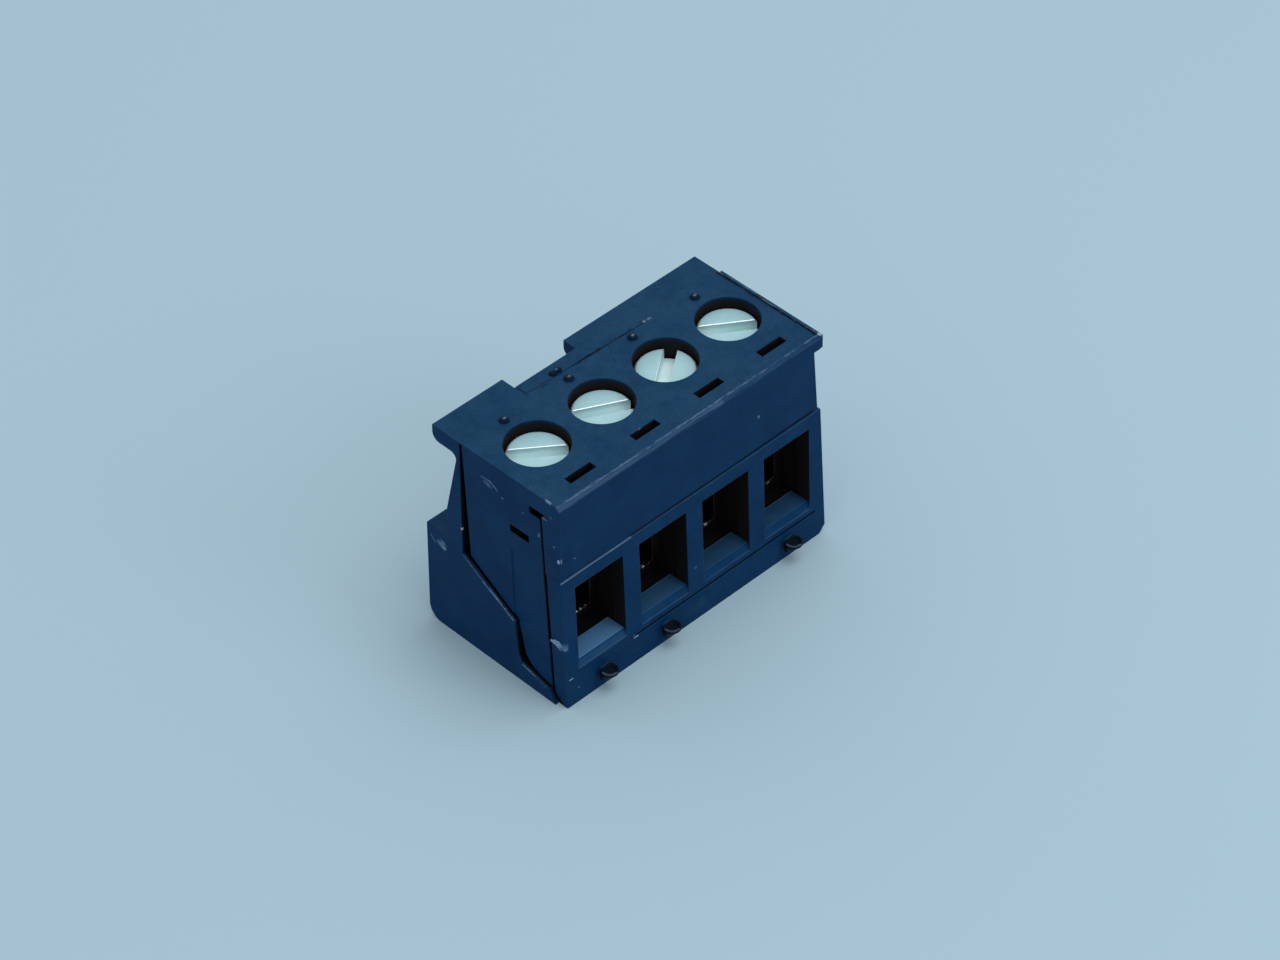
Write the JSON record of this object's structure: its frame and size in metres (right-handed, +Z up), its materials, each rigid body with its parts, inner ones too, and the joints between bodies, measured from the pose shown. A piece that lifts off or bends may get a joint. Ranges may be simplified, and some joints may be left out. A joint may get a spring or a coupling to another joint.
{
  "type": "pluggable terminal block",
  "caption": "Black moulded pluggable terminal block with slotted clamping screws on top, wire openings in the front cover, rising clamp cages inside and pin sockets in the base.",
  "frame": {"origin": "middle of the footprint, on the base", "axes": "+X along the row of poles, +Y to the rear contact block, +Z up to the screw heads"},
  "size_m": [0.0216, 0.0124, 0.0158],
  "materials": {
    "housing_plastic": "fine moulded satin",
    "cover_plastic": "fine moulded satin",
    "zinc_steel": "bright zinc plate",
    "cage_steel": "dull zinc plate",
    "tinned_copper": "tin plate"
  },
  "bodies": {
    "base": {"housing": "housing_plastic", "front_cover": "cover_plastic", "contact_1": "tinned_copper", "contact_2": "tinned_copper", "contact_3": "tinned_copper", "contact_4": "tinned_copper"},
    "screw_1": {"screw_1": "zinc_steel"},
    "cage_1": {"clamp_cage_1": "cage_steel"},
    "screw_2": {"screw_2": "zinc_steel"},
    "cage_2": {"clamp_cage_2": "cage_steel"},
    "screw_3": {"screw_3": "zinc_steel"},
    "cage_3": {"clamp_cage_3": "cage_steel"},
    "screw_4": {"screw_4": "zinc_steel"},
    "cage_4": {"clamp_cage_4": "cage_steel"}
  },
  "joints": [
    {"name": "screw_1_turn", "type": "hinge", "parent": "base", "child": "screw_1", "pos_m": [-0.00758, -0.00018, 0.014], "axis": [0, 0, -1], "range_deg": [0, 1800]},
    {"name": "cage_1_lift", "type": "slide", "parent": "base", "child": "cage_1", "axis": [0, 0, 1], "range_m": [0, 0.00225]},
    {"name": "screw_2_turn", "type": "hinge", "parent": "base", "child": "screw_2", "pos_m": [-0.0025, -0.00018, 0.014], "axis": [0, 0, -1], "range_deg": [0, 1800]},
    {"name": "cage_2_lift", "type": "slide", "parent": "base", "child": "cage_2", "axis": [0, 0, 1], "range_m": [0, 0.00225]},
    {"name": "screw_3_turn", "type": "hinge", "parent": "base", "child": "screw_3", "pos_m": [0.00258, -0.00018, 0.014], "axis": [0, 0, -1], "range_deg": [0, 1800]},
    {"name": "cage_3_lift", "type": "slide", "parent": "base", "child": "cage_3", "axis": [0, 0, 1], "range_m": [0, 0.00225]},
    {"name": "screw_4_turn", "type": "hinge", "parent": "base", "child": "screw_4", "pos_m": [0.00766, -0.00018, 0.014], "axis": [0, 0, -1], "range_deg": [0, 1800]},
    {"name": "cage_4_lift", "type": "slide", "parent": "base", "child": "cage_4", "axis": [0, 0, 1], "range_m": [0, 0.00225]}
  ],
  "couplings": [
    {"joint": "screw_1_turn", "follows": "cage_1_lift", "rad_per_m": 13962},
    {"joint": "screw_2_turn", "follows": "cage_2_lift", "rad_per_m": 13962},
    {"joint": "screw_3_turn", "follows": "cage_3_lift", "rad_per_m": 13962},
    {"joint": "screw_4_turn", "follows": "cage_4_lift", "rad_per_m": 13962}
  ]
}
